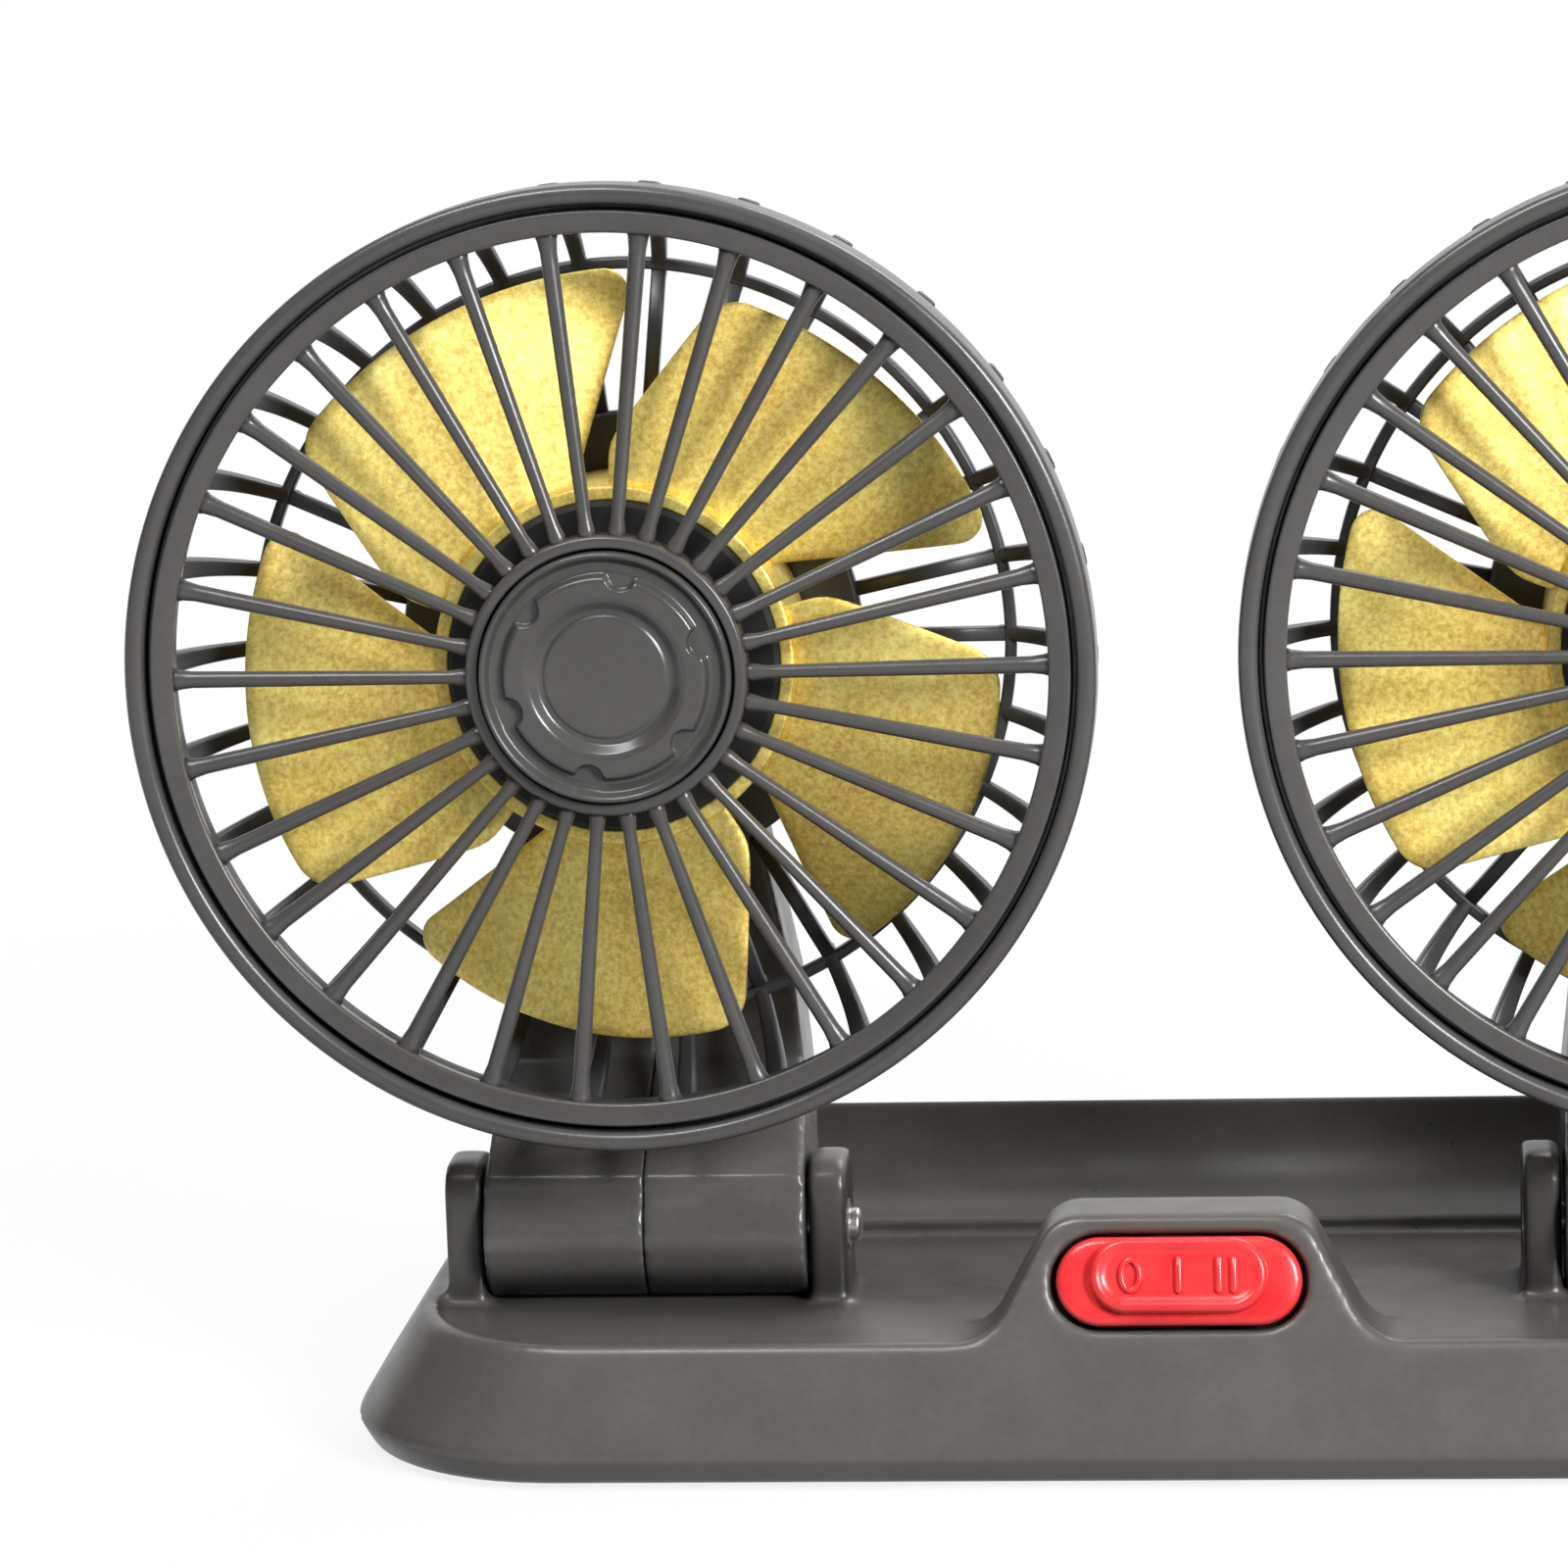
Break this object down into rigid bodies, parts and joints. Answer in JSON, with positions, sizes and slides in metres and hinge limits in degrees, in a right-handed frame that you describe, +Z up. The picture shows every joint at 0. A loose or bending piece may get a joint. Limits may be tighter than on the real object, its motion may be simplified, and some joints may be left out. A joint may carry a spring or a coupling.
{
  "type": "dual-head car fan",
  "caption": "Twin dashboard fan: round guarded fans on tilting, swivelling arms over a long tray base with a rocker switch.",
  "frame": {"origin": "middle of the base on the surface it stands on", "axes": "+Z up, the fans blow and face towards -Y, +X to the right of someone facing the fans"},
  "size_m": [0.24, 0.073, 0.15],
  "materials": {
    "base_plastic": "dark warm grey moulded plastic with a soft satin sheen",
    "guard_plastic": "dark grey moulded plastic, satin",
    "rear_plastic": "near-black moulded plastic, satin",
    "arm_plastic": "dark grey moulded plastic, satin",
    "cap_plastic": "grey plastic with a soft gloss",
    "blade_yellow": "translucent golden yellow plastic with a fine grain",
    "rotor_black": "black plastic",
    "switch_red": "bright red glossy plastic",
    "switch_black": "black switch housing",
    "pad_rubber": "black non-slip rubber",
    "cover_plastic": "black moulded plastic",
    "steel": "plated steel",
    "brass": "plain brass",
    "copper_winding": "varnished copper wire",
    "core_steel": "laminated core",
    "magnet": "dark ferrite",
    "board_green": "green circuit board",
    "chip_black": "black component bodies"
  },
  "bodies": {
    "base": {"base_shell": "base_plastic", "bottom_cover": "cover_plastic", "base_pad": "pad_rubber", "base_screws": "steel", "circuit_board": "board_green", "board_components": "chip_black", "switch_body": "switch_black", "switch_terminals": "brass", "left_hinge_bolt": "steel", "left_hinge_nut": "steel", "right_hinge_bolt": "steel", "right_hinge_nut": "steel"},
    "switch": {"switch_rocker": "switch_red"},
    "left_arm": {"left_arm_outer": "arm_plastic", "left_arm_inner": "arm_plastic", "left_arm_screws": "steel"},
    "left_head": {"left_rear_housing": "rear_plastic", "left_housing_screws": "steel", "left_rear_guard": "rear_plastic", "left_motor_board": "board_green", "left_motor_stator": "core_steel", "left_motor_coils": "copper_winding", "left_motor_bearing": "brass", "left_front_grille": "guard_plastic", "left_front_cap": "cap_plastic"},
    "left_rotor": {"left_motor_shaft": "steel", "left_rotor_cap": "rotor_black", "left_rotor_magnet": "magnet", "left_blade_wheel": "blade_yellow"},
    "right_arm": {"right_arm_outer": "arm_plastic", "right_arm_inner": "arm_plastic", "right_arm_screws": "steel"},
    "right_head": {"right_rear_housing": "rear_plastic", "right_housing_screws": "steel", "right_rear_guard": "rear_plastic", "right_motor_board": "board_green", "right_motor_stator": "core_steel", "right_motor_coils": "copper_winding", "right_motor_bearing": "brass", "right_front_grille": "guard_plastic", "right_front_cap": "cap_plastic"},
    "right_rotor": {"right_motor_shaft": "steel", "right_rotor_cap": "rotor_black", "right_rotor_magnet": "magnet", "right_blade_wheel": "blade_yellow"}
  },
  "joints": [
    {"name": "switch_rock", "type": "hinge", "parent": "base", "child": "switch", "pos_m": [0, -0.02679, 0.02218], "axis": [0, 0.3099, 0.9508], "range_deg": [-6, 6]},
    {"name": "left_arm_tilt", "type": "hinge", "parent": "base", "child": "left_arm", "pos_m": [-0.064, -0.0035, 0.0235], "axis": [1, 0, 0], "range_deg": [-30, 30]},
    {"name": "left_head_swivel", "type": "hinge", "parent": "left_arm", "child": "left_head", "pos_m": [-0.064, 0.017, 0.062], "axis": [0, 0, 1], "range_deg": [-30, 10]},
    {"name": "left_fan_spin", "type": "hinge", "parent": "left_head", "child": "left_rotor", "pos_m": [-0.064, -0.01, 0.094], "axis": [0, -1, 0], "continuous": true},
    {"name": "right_arm_tilt", "type": "hinge", "parent": "base", "child": "right_arm", "pos_m": [0.064, -0.0035, 0.0235], "axis": [1, 0, 0], "range_deg": [-30, 30]},
    {"name": "right_head_swivel", "type": "hinge", "parent": "right_arm", "child": "right_head", "pos_m": [0.064, 0.017, 0.062], "axis": [0, 0, 1], "range_deg": [-10, 30]},
    {"name": "right_fan_spin", "type": "hinge", "parent": "right_head", "child": "right_rotor", "pos_m": [0.064, -0.01, 0.094], "axis": [0, -1, 0], "continuous": true}
  ]
}
